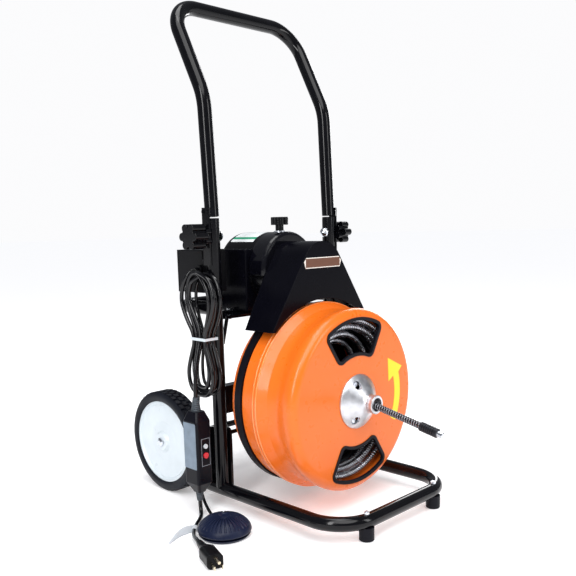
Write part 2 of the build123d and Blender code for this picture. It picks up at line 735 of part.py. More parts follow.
def make_handle():
    """The folding handle: one bent tube, two riveted hinge plates and their rivets."""
    legs = [(-leg_x, post_y, handle_bottom), (-leg_x, *handle_knee), (-leg_x, *handle_top),
            (leg_x, *handle_top), (leg_x, *handle_knee), (leg_x, post_y, handle_bottom)]
    tube = pipe(legs, [110, 60, 60, 110], tube_d, tube_d - 2 * tube_wall)
    core = pipe(legs, [110, 60, 60, 110], tube_d)
    plates, rivets = [], []
    for _, sign in sides:
        x = sign * leg_x
        face = sign * (leg_x + tube_r)
        outer = face + sign * plate_t
        flat = slab(sorted((face, outer)), (post_y - plate_w / 2, post_y + plate_w / 2),
                    (plate_bottom, plate_top))
        wrap = rod((x, post_y, handle_bottom), (x, post_y, plate_top), tube_d + 2 * plate_t)
        keep = slab(sorted((x + sign * 6, outer)), (post_y - 16, post_y + 16),
                    (handle_bottom - 1, plate_top + 1))
        plate = flat + (wrap & keep)
        plate = plate - core - post_rod(x)
        plate -= rod((0, post_y, pivot_z), (sign * 250, post_y, pivot_z), bolt_d + 2 * fit_gap)
        for y in (post_y - 5, post_y + 5):
            hole = rod((sign * (leg_x + 8), y, 549), (outer + sign, y, 549), 4)
            tube -= hole
            plate -= hole
            rivets.append(hole + rod((outer - sign * 0.6, y, 549), (outer + sign * 1.6, y, 549), 6.5)
                          - plate)
        plates.append(plate)
    save(tube, "handle_tube")
    save(joined(plates + rivets), "fold_plates")


def make_fold_clamps():
    """The lobed spacers and the star knobs; returns the carriage bolts through the posts."""
    bolts, spacers = [], []
    for (side, sign), knob_x in zip(sides, (knob_left_x, knob_right_x)):
        inner = sign * (leg_x - tube_r)
        plate_face = leg_x + tube_r + plate_t
        bolt = rod((inner, post_y, pivot_z), (sign * (knob_x - 10), post_y, pivot_z), bolt_d)
        head = turned(Plane(origin=(inner, post_y, pivot_z), x_dir=(-sign, 0, 0), z_dir=(0, sign, 0)),
                      Axis((0, post_y, pivot_z), (1, 0, 0)),
                      [(0, 0), (0, 10), (3, 9), (6.5, 6), (8.5, 2.5), (9, 0)])
        bolts.append(bolt + head)
        hub = Plane(origin=(sign * (plate_face + 0.3), post_y, pivot_z), x_dir=(0, 1, 0),
                    z_dir=(sign, 0, 0))
        with BuildPart() as spacer:
            with BuildSketch(hub):
                Circle(13)
                with PolarLocations(13, 5):
                    Circle(5.5)
                Circle(bolt_d / 2, mode=Mode.SUBTRACT)
            extrude(amount=11)
        spacers.append(spacer.part)
        base = plate_face + 0.3 + 11.3
        seat = Plane(origin=(sign * base, post_y, pivot_z), x_dir=(0, 1, 0), z_dir=(sign, 0, 0))
        length = knob_x + 8 - base
        knob = lobed_knob(seat, 6, 24.0, length - 0.5, 20.0, 1.5)
        knob -= rod((0, post_y, pivot_z), (sign * (knob_x - 9.5), post_y, pivot_z), bolt_d + 2 * fit_gap)
        save(knob, f"knob_{side}")
    save(joined(spacers), "knob_spacers")
    return bolts


# ---------------------------------------------------------------- switch box
def make_switch_box():
    """The switch box: case, lid with a rocker, what is inside, and its bracket on the post."""
    wall = 2.5
    case = slab(box_x, box_y, box_z, 2.0) - slab(
        (box_x[0] + wall, box_x[1] - wall), (box_y[0] + wall, box_y[1] + 5),
        (box_z[0] + wall, box_z[1] - wall))
    case -= rod((box_x[0] - 5, gland_y, gland_z), (box_x[0] + 5, gland_y, gland_z), 9)
    case -= rod((box_x[0] - 5, barb_y, barb_z), (box_x[0] + 5, barb_y, barb_z), 5)
    bracket = slab((-166, -147), (post_y, box_y[0]), (425, 465)) - post_rod(-leg_x)
    save(joined([case, bracket]), "switch_box")
    window = slab((rocker_at[0] - rocker_w / 2 - 0.4, rocker_at[0] + rocker_w / 2 + 0.4),
                  (box_y[1] - 5, box_y[1] + 10),
                  (rocker_at[2] - rocker_r - 0.4, rocker_at[2] + rocker_r + 0.4))
    lid = slab(box_x, (box_y[1], box_y[1] + lid_t), box_z) - window
    bezel = slab((rocker_at[0] - 10, rocker_at[0] + 10), (box_y[1] + lid_t, box_y[1] + lid_t + 1.5),
                 (rocker_at[2] - 15, rocker_at[2] + 15)) - window
    save(joined([lid, bezel]), "switch_box_lid")
    rocker = rod((rocker_at[0] - rocker_w / 2, *rocker_at[1:]), (rocker_at[0] + rocker_w / 2, *rocker_at[1:]),
                 2 * rocker_r)
    with BuildPart() as notch:
        with BuildSketch(Plane.YZ.offset(rocker_at[0] - rocker_w)):
            with BuildLine():
                Polyline((rocker_at[1] + 8, rocker_at[2]), (rocker_at[1] + 14, rocker_at[2] - 16),
                         (rocker_at[1] + 14, rocker_at[2] + 16), close=True)
            make_face()
        extrude(amount=2 * rocker_w)
    save(rocker - notch.part, "reversing_rocker")
    capacitor = rod((-126, 106, box_z[0] + wall), (-126, 106, box_z[0] + 62), 26)
    air_switch = rod((-151, 106, box_z[0] + wall), (-151, 106, barb_z - 4.5), 20)
    save(joined([capacitor, air_switch]), "switch_box_internals")
    gland = rod((box_x[0], gland_y, gland_z), (hank_x[1], gland_y, gland_z), 16)
    gland += rod((box_x[0] + wall, gland_y, gland_z), (box_x[0], gland_y, gland_z), 9)
    barb = rod((box_x[0], barb_y, barb_z), (hank_x[1], barb_y, barb_z), 9)
    barb += rod((box_x[0] + wall, barb_y, barb_z), (box_x[0], barb_y, barb_z), 5)
    save(joined([gland, barb]), "cord_glands")


# ---------------------------------------------------------------- cord, hose and what is on them
# Routes are points chosen by hand along each stretch that isn't in the hank.
cord_upper_route = [(-192, 66, 332), (-203, 65, 300), (-212, 63, 263), (-215, 61, 222)]
cord_lower_route = [(-215, 61, 28), (-215.6, 59.8, 15), (-219, 54, 6.2), (-227, 44.5, 4.1),
                    (-240, 33, 4.2), (-256, 21.5, 4.1), (-271, 8, 4.2), (-284, -6, 4.4),
                    (-294.5, -21, 6.2), (-302.5, -35, 9.6), (-308, -46.5, 12), (*plug_rear, plug_z)]
hose_route = [(-186.5, 88, 220), (-187.5, 92, 182), (-188, 96, 142), (-188.5, 97.5, 104),
              (-189.5, 95.5, 70), (-192.5, 88, 42), (-198, 74, 24), (-205, 55, 13), (-212.5, 35, 7.6),
              (-219.6, 16, 6)]


def make_hank():
    """The looped cord and hose hanging from the box, pinched by a tie, and the tie."""
    right = [(88, 450), (112, 436), (122, 400), (108, 362), (86, 325), (98, 292), (107, 262),
             (101, 232), (82, 217)]
    left = [(50, 217), (32, 232), (26, 262), (36, 292), (46, 325), (26, 362), (16, 400),
            (30, 434), (60, 448)]
    with BuildPart() as hank:
        with BuildSketch(Plane.YZ.offset(hank_x[0])):
            with BuildLine():
                Polyline(*right, *left, close=True)
            make_face()
        extrude(amount=hank_x[1] - hank_x[0])
        fillet(hank.edges().filter_by(Axis.X), 6)
    save(hank.part, "cord_hank")
    band = slab((hank_x[0] - 1.2, hank_x[1] + 1.2), (44.8, 87.2), (322.5, 327.5))
    save(band - hank.part, "cord_tie")
    return hank.part, band


def make_cords(hank, band, reliefs, plug):
    """The plain tubes of the power cord and the air hose."""
    upper = cord_tube("power_cord_upper", cord_upper_route, cord_d) - hank - band - reliefs
    save(upper, "power_cord_upper")
    lower = cord_tube("power_cord_lower", cord_lower_route, cord_d) - reliefs - plug
    save(lower, "power_cord_lower")
    make_tag(lower)
    save(cord_tube("air_hose", hose_route, hose_d) - hank, "air_hose")


def make_gfci():
    """The in-line safety switch: body and buttons; returns its two strain reliefs."""
    panel_y = gfci_y - gfci_l / 2
    with BuildPart() as body:
        for low, high, low_size, high_size in (
                (gfci_z[0], 64, (17, 19), (gfci_w, gfci_l)),
                (64, 180, (gfci_w, gfci_l), (gfci_w, gfci_l)),
                (180, gfci_z[1], (gfci_w, gfci_l), (22, 26))):
            for z, size in ((low, low_size), (high, high_size)):
                with BuildSketch(Plane((gfci_x, gfci_y, z))):
                    RectangleRounded(*size, 5)
            loft()
    case = body.part
    buttons = {"test_button": (-213, 134, 8.4), "reset_button": (-213, 117, 10.6)}
    for name, (x, z, size) in buttons.items():
        case -= rod((x, panel_y - 1, z), (x, panel_y + 8, z), size + 0.8)
        save(rod((x, panel_y - 2.0, z), (x, panel_y + 4.0, z), size), name)
    save(case, "gfci_body")
    top = turned(Plane(origin=(gfci_x, gfci_y, gfci_z[1]), x_dir=(0, 0, 1), z_dir=(0, 1, 0)),
                 Axis((gfci_x, gfci_y, 0), (0, 0, 1)), [(0, 0), (0, 9), (25, 5.2), (25, 0)])
    bottom = turned(Plane(origin=(gfci_x, gfci_y, gfci_z[0]), x_dir=(0, 0, -1), z_dir=(0, 1, 0)),
                    Axis((gfci_x, gfci_y, 0), (0, 0, 1)), [(0, 0), (0, 7.5), (17, 5.4), (17, 0)])
    save(joined([top, bottom]), "gfci_strain_reliefs")
    return top + bottom


def make_plug():
    """The moulded grounding plug, with its three prongs; returns the plug's body."""
    heading = Vector(cos(radians(plug_heading)), sin(radians(plug_heading)), 0)
    across = Vector(-heading.Y, heading.X, 0)
    rear = Vector(*plug_rear, plug_z)
    sections = ((0, 9, 9), (24, 14, 13), (42, 27, 23), (80, 27, 24))
    with BuildPart() as body:
        for pair in zip(sections, sections[1:]):
            for distance, width, height in pair:
                with BuildSketch(Plane(origin=rear + heading * distance, x_dir=across, z_dir=heading)):
                    RectangleRounded(width, height, min(width, height) * 0.3)
            loft()
    save(body.part, "plug_body")
    face = rear + heading * 80
    prongs = []
    for offset_across in (-6.35, 6.35):
        with BuildPart() as blade:
            with BuildSketch(Plane(origin=face + across * offset_across - Vector(0, 0, 3),
                                   x_dir=across, z_dir=heading)):
                Rectangle(1.5, 6.3)
            extrude(amount=17)
        prongs.append(blade.part)
    pin = face + Vector(0, 0, 6.5)
    prongs.append(rod(tuple(pin), tuple(pin + heading * 20), 4.8))
    save(joined(prongs), "plug_prongs")
    return body.part


def make_tag(cord):
    """The blank care tag: a flag lying on the floor and the sleeve that folds round the cord."""
    with BuildPart() as flag:
        with BuildSketch(Plane.XY.offset(4)):
            with BuildLine():
                Polyline((-267, 12), (-277, 2), (-300, 9), (-322, 3), (-340, -7), (-338, -1),
                         (-318, 11), (-296, 19), close=True)
            make_face()
        extrude(amount=0.8)
    sleeve = rod((-266, 13.2, 4.2), (-276.5, 2.2, 4.3), cord_d + 1.8)
    tag = flag.part + (sleeve & slab((-300, -250), (-20, 40), (0.1, 20)))
    save(joined([tag - cord]), "cord_tag")


def make_pedal():
    """The air pedal: a base with a hose fitting, and a ribbed dome that is pressed down."""
    x, y = pedal_centre
    end = Vector(*hose_route[-1])
    way = (end - Vector(x, y, end.Z)).normalized()
    start = end - way * 12
    base = turned(Plane(origin=(x, y, 0), x_dir=(0, 0, 1), z_dir=(0, 1, 0)), Axis((x, y, 0), (0, 0, 1)),
                  [(0, 0), (0, 41), (pedal_base_t, 45), (pedal_base_t, 0)])
    lug = rod(tuple(start - way * 10), tuple(start), 9) & slab((-400, 0), (-200, 200), (0, pedal_base_t))
    base += lug
    base += rod(tuple(start), tuple(end), 9)
    save(joined([base]), "pedal_base")
    skirt = pedal_base_t + pedal_travel + 0.5
    with BuildPart() as dome:
        with BuildSketch(Plane(origin=(x, y, 0), x_dir=(1, 0, 0), z_dir=(0, -1, 0))):
            with BuildLine():
                side = Line((pedal_r - 0.8, skirt), (pedal_r, skirt + 5))
                crown = Spline(side @ 1, (45.4, 22), (38, 29), (20, 34.3), (9, pedal_top),
                               tangents=[(0, 1), (-1, 0)])
                dish = Polyline(crown @ 1, (7, pedal_top - 1.5), (0, pedal_top - 1.5), (0, pedal_top - 6))
                inner = Spline(dish @ 1, (20, 29), (34, 24), (42, skirt), tangents=[(1, 0), (0.2, -1)])
                Line(inner @ 1, side @ 0)
            make_face()
        revolve(axis=Axis((x, y, 0), (0, 0, 1)))
    save(dome.part, "pedal_dome")


# ---------------------------------------------------------------- everything
make_base_frame()
make_posts()
make_tube_plugs()
make_cross_members()
make_rear_loop()
make_axle_brackets()
foot_screws = make_feet()
make_wheels()
make_drum_front()
make_drum_rear()
make_slot_trims()
make_nozzle()
make_arrow()
make_coil()
axle_nuts = make_drum_bearing()
make_cable()
make_belt()
make_motor()
cradle_bolts = make_motor_cradle()
knob_washer = make_guard()
make_labels()
make_handle()
fold_bolts = make_fold_clamps()
save(joined(foot_screws + axle_nuts + cradle_bolts + fold_bolts + [knob_washer]), "frame_bolts")
make_switch_box()
hank_part, tie_band = make_hank()
relief_part = make_gfci()
plug_part = make_plug()
make_cords(hank_part, tie_band, relief_part, plug_part)
make_pedal()
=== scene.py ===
"""The drain cleaning machine's looks: materials, detailed pieces, cords, studio and camera."""
import json
from math import cos, pi, radians, sin

import bpy
from mathutils import Matrix, Vector


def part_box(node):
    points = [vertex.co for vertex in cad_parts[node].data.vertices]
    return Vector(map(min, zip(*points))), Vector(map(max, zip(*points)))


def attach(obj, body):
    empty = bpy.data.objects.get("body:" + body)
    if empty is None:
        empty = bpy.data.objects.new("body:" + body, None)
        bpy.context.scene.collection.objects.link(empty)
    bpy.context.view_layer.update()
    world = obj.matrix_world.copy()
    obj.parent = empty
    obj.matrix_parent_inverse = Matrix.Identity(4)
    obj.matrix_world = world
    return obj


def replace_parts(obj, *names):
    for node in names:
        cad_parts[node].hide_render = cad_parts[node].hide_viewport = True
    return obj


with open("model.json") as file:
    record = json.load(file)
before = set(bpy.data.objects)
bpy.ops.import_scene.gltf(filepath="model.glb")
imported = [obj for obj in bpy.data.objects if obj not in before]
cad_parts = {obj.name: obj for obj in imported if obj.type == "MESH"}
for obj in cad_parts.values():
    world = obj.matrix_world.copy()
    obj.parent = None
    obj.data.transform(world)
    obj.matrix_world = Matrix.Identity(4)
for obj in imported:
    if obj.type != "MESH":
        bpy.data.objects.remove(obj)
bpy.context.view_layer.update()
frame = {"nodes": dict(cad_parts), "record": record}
nodes = frame["nodes"]
scene = bpy.context.scene

# ---------------------------------------------------------------- dimensions, in metres
MM = 0.001
CABLE_DROOP = radians(11.8)
CABLE_REF = Vector((0, -0.179, 0.203))
CABLE_AXIS = Vector((0, -cos(CABLE_DROOP), -sin(CABLE_DROOP)))
CABLE_R = 0.00635
CABLE_WIRE = 0.0034
CABLE_CORE_R = 0.0038
SPRING_PITCH = 0.0049
SPRING_Y = (-0.105, -0.276)          # from inside the drum to inside the coupling
SLEEVE_Y = (-0.274, -0.308)
PIN_END_Y = -0.318
SLEEVE_R = 0.0083
SLEEVE_GROOVE_R = 0.0071
STORED_WIRE = 0.0038
STORED_PITCH = 0.0132                # from one stored turn to the next
STORED_OUTER = (-0.112, 0.1465)      # y of the first turn, and the radius of the layer
STORED_INNER = (-0.1054, 0.1333)
DRUM_CENTRE = (0.0, 0.0, 0.2054)
DRUM_INSIDE_Y = (-0.1347, 0.0197)
DRUM_INSIDE_R = 0.1583
SEAM_BEADS_Y = (-0.0532, -0.0458)
SEAM_BEAD_RING_R = 0.1747
SEAM_BEAD_R = 0.0016
WHEEL_CENTRE = (0.0, 0.216, 0.1016)
TYRE_R = 0.1016
CORD_D = 0.0076
HOSE_D = 0.006

# ---------------------------------------------------------------- cord routes, in millimetres
# the outline of the hank, as (y, z)
HANK_RIGHT = [(88, 450), (112, 436), (122, 400), (108, 362), (86, 325), (98, 292), (107, 262),
              (101, 232), (82, 217)]
HANK_LEFT = [(50, 217), (32, 232), (26, 262), (36, 292), (46, 325), (26, 362), (16, 400),
             (30, 434), (60, 448)]
# what leads on from the hank, and the cord from the switch to the plug, as (x, y, z)
CORD_UPPER = [(-192, 66, 332), (-203, 65, 300), (-212, 63, 263), (-215, 61, 222)]
CORD_LOWER = [(-215, 61, 28), (-215.6, 59.8, 15), (-219, 54, 6.2), (-227, 44.5, 4.1),
              (-240, 33, 4.2), (-256, 21.5, 4.1), (-271, 8, 4.2), (-284, -6, 4.4),
              (-294.5, -21, 6.2), (-302.5, -35, 9.6), (-308, -46.5, 12), (-312, -56, 12.5)]
HOSE = [(-186.5, 88, 220), (-187.5, 92, 182), (-188, 96, 142), (-188.5, 97.5, 104),
        (-189.5, 95.5, 70), (-192.5, 88, 42), (-198, 74, 24), (-205, 55, 13), (-212.5, 35, 7.6),
        (-219.6, 16, 6)]
HANK_MIDDLE = 66.0
HANK_WAIST = 325.0
WAIST_PINCH = 4.0            # the tie holds the outer strands this much further in
# each turn of the hank: how far out it lies, how far inside the outline, and how full its loops are
CORD_TURNS = [(-195.6, 4.4, 1.0), (-187.2, 4.4, 0.86), (-178.8, 4.4, 0.97), (-192.4, 12.6, 0.74)]
HOSE_TURNS = [(-183.4, 12.2, 1.0), (-176.4, 12.2, 0.72)]

# ---------------------------------------------------------------- colours
SHELL_ORANGE = (0.78, 0.148, 0.011)
PAINT_BLACK = (0.002, 0.002, 0.003)
GUARD_BLACK = (0.002, 0.002, 0.004)
CASE_BLACK = (0.003, 0.003, 0.006)
# dark brown for the inside of the drum: old cable oil and painted shade
OIL_AND_SHADE_BROWN = (0.012, 0.006, 0.004)


# ---------------------------------------------------------------- materials
class Shader:
    """A node material with the object's own coordinates at hand."""

    def __init__(self, name):
        self.material = bpy.data.materials.new(name)
        self.material.use_nodes = True
        self.tree = self.material.node_tree
        self.bsdf = self.tree.nodes["Principled BSDF"]
        self.place = self.tree.nodes.new("ShaderNodeTexCoord").outputs["Object"]

    def feed(self, socket, value):
        """Link an input to another node's output, or give it a plain value."""
        if isinstance(value, bpy.types.NodeSocket):
            self.tree.links.new(value, socket)
        else:
            socket.default_value = value

    def node(self, kind, *values, **settings):
        made = self.tree.nodes.new("ShaderNode" + kind)
        for key, value in settings.items():
            setattr(made, key, value)
        for index, value in enumerate(values):
            self.feed(made.inputs[index], value)
        return made

    def xyz(self):
        return self.node("SeparateXYZ", self.place).outputs

    def math(self, operation, *values):
        return self.node("Math", *values, operation=operation).outputs[0]

    def noise(self, scale, detail=3.0):
        texture = self.node("TexNoise", self.place)
        texture.inputs["Scale"].default_value = scale
        texture.inputs["Detail"].default_value = detail
        return texture.outputs["Fac"]

    def span(self, value, low, high, out_low, out_high):
        return self.node("MapRange", value, low, high, out_low, out_high).outputs[0]

    def between(self, value, low, high):
        return self.math("MULTIPLY", self.math("GREATER_THAN", value, low),
                         self.math("LESS_THAN", value, high))

    def mix(self, factor, first, second):
        made = self.node("Mix", factor, data_type="RGBA")
        for socket, colour in ((made.inputs[6], first), (made.inputs[7], second)):
            self.feed(socket, colour if isinstance(colour, bpy.types.NodeSocket) else (*colour, 1))
        return made.outputs[2]

    def bump(self, height, strength, distance, after=None):
        made = self.node("Bump")
        made.inputs["Strength"].default_value = strength
        made.inputs["Distance"].default_value = distance
        self.feed(made.inputs["Height"], height)
        if after is not None:
            self.feed(made.inputs["Normal"], after)
        return made.outputs[0]

    def set(self, name, value):
        self.feed(self.bsdf.inputs[name], value)

    def finish(self, rough, metal=0.0, coat=0.0, blotch=22.0, grain=0.25, grain_scale=700.0,
               grain_depth=0.0001, specular=0.5, edge=0.0):
        """Gloss that varies a little and a fine grain; edge is how far corners are rounded to the eye."""
        self.set("Roughness", self.span(self.noise(blotch * 2.3, 5.0), 0.25, 0.75,
                                        max(0.03, rough - 0.06), min(1.0, rough + 0.06)))
        self.set("Metallic", metal)
        self.set("Specular IOR Level", specular)
        self.set("Coat Weight", coat)
        self.set("Coat Roughness", 0.06)
        corners = self.node("Bevel", edge, samples=4).outputs[0] if edge else None
        self.normal = self.bump(self.noise(grain_scale, 2.0), grain, grain_depth, corners)
        self.set("Normal", self.normal)


def tint(colour, factor):
    return tuple(min(1.0, c * factor) for c in colour)


def surface(name, colour, rough, vary=0.12, blotch=22.0, **options):
    """A finished surface whose colour varies a little."""
    made = Shader(name)
    made.set("Base Color", made.mix(made.span(made.noise(blotch, 4.0), 0.3, 0.7, 0.0, 1.0),
                                    tint(colour, 1 - vary), tint(colour, 1 + vary)))
    made.finish(rough, blotch=blotch, **options)
    return made


def plain(*values, **options):
    return surface(*values, **options).material


def shell_orange():
    """Gloss orange outside; the inside of the drum is painted dark, partly for old cable oil and partly as
    painted shade in the drum's hollow.
    """
    made = Shader("orange_shell")
    made.finish(0.30, coat=0.16, specular=0.35, grain=0.04, grain_scale=240.0)
    x, y, z = made.xyz()
    up = made.math("SUBTRACT", z, DRUM_CENTRE[2])
    radius = made.math("SQRT", made.math("ADD", made.math("MULTIPLY", x, x), made.math("MULTIPLY", up, up)))
    # painted shade: the hollow inside the shell is coloured dark brown for its shade as well as for old
    # cable oil
    inside = made.math("MULTIPLY", made.between(y, *DRUM_INSIDE_Y),
                       made.math("LESS_THAN", radius, DRUM_INSIDE_R))
    cloud = made.mix(made.noise(22.0), tint(SHELL_ORANGE, 0.96), tint(SHELL_ORANGE, 1.04))
    made.set("Base Color", made.mix(inside, cloud, OIL_AND_SHADE_BROWN))
    return made.material


def label_print():
    """Blank badge on the guard and blank sticker on the motor."""
    made = Shader("blank_labels")
    made.finish(0.38, grain=0.06)
    x, y, z = made.xyz()
    face = made.mix(made.math("MULTIPLY", made.between(z, 0.446, 0.462), made.between(x, -0.0462, 0.0462)),
                    (0.80, 0.76, 0.70), (0.12, 0.045, 0.022))
    stripe = made.between(z, 0.4975, 0.5015)
    sticker = made.mix(stripe, (0.80, 0.83, 0.84), (0.02, 0.30, 0.16))
    made.set("Base Color", made.mix(made.math("LESS_THAN", y, 0.0), sticker, face))
    return made.material


def ribbed_relief():
    made = surface("strain_relief", (0.055, 0.068, 0.082), 0.55, vary=0.15)
    rib = made.math("SINE", made.math("MULTIPLY", made.xyz()[2], 1900.0))
    made.set("Normal", made.bump(rib, 0.9, 0.0012, made.normal))
    return made.material


def switch_case():
    """Black moulding with the light line round the panel of the two buttons."""
    made = Shader("switch_case")
    made.finish(0.32, specular=0.14, edge=0.0012, grain=0.3, grain_scale=900.0)
    x, y, z = made.xyz()
    outer = made.math("MULTIPLY", made.between(x, -0.2222, -0.2028), made.between(z, 0.0975, 0.1485))
    inner = made.math("MULTIPLY", made.between(x, -0.2214, -0.2036), made.between(z, 0.0983, 0.1477))
    line = made.math("MULTIPLY", made.math("SUBTRACT", outer, inner), made.math("LESS_THAN", y, 0.0412))
    made.set("Base Color", made.mix(line, CASE_BLACK, (0.30, 0.33, 0.37)))
    return made.material


def woven_tag():
    made = surface("woven_tag", (0.52, 0.56, 0.60), 0.75, vary=0.06)
    weave = made.node("TexWave", made.place)
    weave.inputs["Scale"].default_value = 420.0
    made.set("Normal", made.bump(weave.outputs["Fac"], 0.35, 0.0004, made.normal))
    return made.material


looks = {
    "frame_paint": plain("gloss_black_paint", PAINT_BLACK, 0.15, coat=0.14, specular=0.20, grain=0.08,
                         grain_scale=260.0, grain_depth=0.0003, vary=0.25),
    "motor_paint": plain("motor_paint", PAINT_BLACK, 0.24, coat=0.04, specular=0.14, edge=0.0015,
                         grain=0.25, grain_scale=500.0),
    "guard_paint": plain("guard_paint", GUARD_BLACK, 0.24, specular=0.07, edge=0.0025, grain=0.12,
                         grain_scale=420.0),
    "orange_shell": shell_orange(),
    "cast_alloy": plain("cast_alloy", (0.66, 0.67, 0.70), 0.38, metal=1.0, vary=0.18, blotch=60.0,
                        grain=0.5, grain_scale=420.0, grain_depth=0.0004),
    "spring_steel": plain("spring_wire", (0.56, 0.56, 0.60), 0.24, metal=1.0, vary=0.25,
                          blotch=90.0),
    # the seam beads: the shell's orange made lighter and yellower than the shell itself, a painted
    # highlight along the beads, with a glossier finish
    "orange_bead": plain("orange_bead", (0.88, 0.24, 0.05), 0.14, coat=0.6, specular=0.7, vary=0.03,
                         grain=0.03),
    "oiled_steel": plain("oiled_wire", (0.20, 0.20, 0.22), 0.24, metal=1.0, vary=0.2, blotch=90.0),
    "dark_steel": plain("dark_steel", (0.035, 0.035, 0.04), 0.36, metal=0.85, vary=0.2),
    "zinc": plain("zinc_plate", (0.66, 0.69, 0.74), 0.24, metal=1.0, vary=0.12, blotch=120.0),
    "black_plastic": plain("black_plastic", (0.003, 0.003, 0.004), 0.38, specular=0.14, edge=0.001,
                           grain=0.4, grain_scale=900.0),
    "knob_plastic": plain("knob_plastic", PAINT_BLACK, 0.22, coat=0.08, specular=0.2, grain=0.15),
    "black_rubber": plain("black_rubber", CASE_BLACK, 0.50, specular=0.16, grain=0.5),
    "cord_jacket": plain("cord_jacket", PAINT_BLACK, 0.20, coat=0.25, specular=0.3, grain=0.15),
    "tyre_rubber": plain("tyre_rubber", (0.004, 0.005, 0.009), 0.50, specular=0.2, vary=0.3, grain=0.6,
                         grain_scale=500.0),
    "white_plastic": plain("white_plastic", (0.62, 0.68, 0.72), 0.32, vary=0.05, grain=0.15,
                           coat=0.2),
    "pedal_plastic": plain("pedal_plastic", (0.005, 0.009, 0.030), 0.42, specular=0.22, grain=0.4),
    "label": label_print(),
    "yellow_decal": plain("yellow_film", (0.80, 0.66, 0.006), 0.34, vary=0.03, grain=0.05),
    "white_film": woven_tag(),
    "red_plastic": plain("red_plastic", (0.62, 0.012, 0.025), 0.30, vary=0.05, coat=0.3),
    "plug_brass": plain("plug_brass", (0.70, 0.62, 0.45), 0.24, metal=1.0, vary=0.15,
                        blotch=150.0),
}
# nodes that look other than their slot in the record
own_looks = {"drum_axle": looks["frame_paint"], "wheel_axle": looks["frame_paint"],
             "guard_hump": plain("hump_paint", GUARD_BLACK, 0.14, coat=0.1, specular=0.3,
                                 edge=0.003, grain=0.1),
             "gfci_strain_reliefs": ribbed_relief(),
             "gfci_body": switch_case()}


def wear(obj, material):
    obj.data.materials.clear()
    obj.data.materials.append(material)


for piece in frame["record"]["subparts"]:
    node = nodes[piece["node"]]
    look = own_looks.get(piece["node"], looks[piece["material_slot"]])
    if len(node.material_slots) == 0:
        node.data.materials.append(look)
    for slot in node.material_slots:
        slot.material = look


# ---------------------------------------------------------------- mesh helpers
def mesh_piece(name, vertices, faces, slot, sharp=35.0):
    mesh = bpy.data.meshes.new(name)
    mesh.from_pydata(vertices, [], faces)
    mesh.validate()
    mesh.polygons.foreach_set("use_smooth", [True] * len(mesh.polygons))
    mesh.set_sharp_from_angle(angle=radians(sharp))
    obj = bpy.data.objects.new(name, mesh)
    scene.collection.objects.link(obj)
    wear(obj, looks[slot])
    return obj


def ring_faces(rings, around, closed_rings):
    """Quads over a grid of rings, each with the same number of points."""
    faces = []
    for i in range(rings if closed_rings else rings - 1):
        j = (i + 1) % rings
        for k in range(around):
            n = (k + 1) % around
            faces.append((i * around + k, j * around + k, j * around + n, i * around + n))
    return faces


def lathe(name, profile, origin, axis, slot, around=64):
    """A turned piece: profile is (distance along the axis, radius) and starts and ends on it."""
    axis = Vector(axis).normalized()
    side = axis.orthogonal().normalized()
    other = axis.cross(side)
    vertices = []
    for distance, radius in profile:
        for k in range(around):
            turn = 2 * pi * k / around
            vertices.append(Vector(origin) + axis * distance
                            + (side * cos(turn) + other * sin(turn)) * max(radius, 1e-6))
    return mesh_piece(name, vertices, ring_faces(len(profile), around, False), slot)


# ---------------------------------------------------------------- tyres
def tyre(name, node, body):
    """A tyre with three rows of blocks, staggered from row to row, and a rounded shoulder.

    section holds (part of the half width, radius), where "groove" or a row's number stands for a radius.
    """
    low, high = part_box(node)
    middle, half = (low[0] + high[0]) / 2, (high[0] - low[0]) / 2
    bead_r, blocks, samples, depth = 0.082, 44, 8, 0.0028
    rows = ((-0.78, -0.34), (-0.24, 0.24), (0.34, 0.78))
    section = [(-0.85, bead_r), (-0.97, bead_r + 0.004), (-1.0, 0.0915), (-0.93, 0.0975),
               (-0.84, 0.1004)]
    for row, (start, end) in enumerate(rows):
        section += [(start - 0.02, "groove"), (start, row), (end, row), (end + 0.02, "groove")]
    section += [(-t, r) for t, r in reversed(section[:5])]
    around = blocks * samples
    vertices = []
    for k in range(around):
        turn = 2 * pi * k / around
        for across, radius in section:
            if radius == "groove":
                radius = TYRE_R - depth
            elif isinstance(radius, int):
                beat = (k + radius * samples // 2) % samples
                radius = TYRE_R - (depth if beat in (0, 1) else 0.0)
            vertices.append((middle + across * half, WHEEL_CENTRE[1] + radius * cos(turn),
                             WHEEL_CENTRE[2] + radius * sin(turn)))
    made = mesh_piece(name, vertices, ring_faces(around, len(section), True), "tyre_rubber", 30.0)
    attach(made, body)
    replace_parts(made, node)


tyre("tread_left", "tyre_left", "left_wheel")
tyre("tread_right", "tyre_right", "right_wheel")


# ---------------------------------------------------------------- snake cable and coupling
def along_cable(y):
    return CABLE_REF + CABLE_AXIS * ((CABLE_REF.y - y) / cos(CABLE_DROOP))


def wire(name, points, radius, slot, body, closed=False):
    """A round wire through the points."""
    curve = bpy.data.curves.new(name, "CURVE")
    curve.dimensions = "3D"
    curve.bevel_depth = radius
    curve.bevel_resolution = 1
    spline = curve.splines.new("POLY")
    spline.points.add(len(points) - 1)
    for point, place in zip(spline.points, points):
        point.co = (*place, 1)
    spline.use_cyclic_u = closed
    obj = bpy.data.objects.new(name, curve)
    scene.collection.objects.link(obj)
    curve.materials.append(looks[slot])
    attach(obj, body)
    return obj


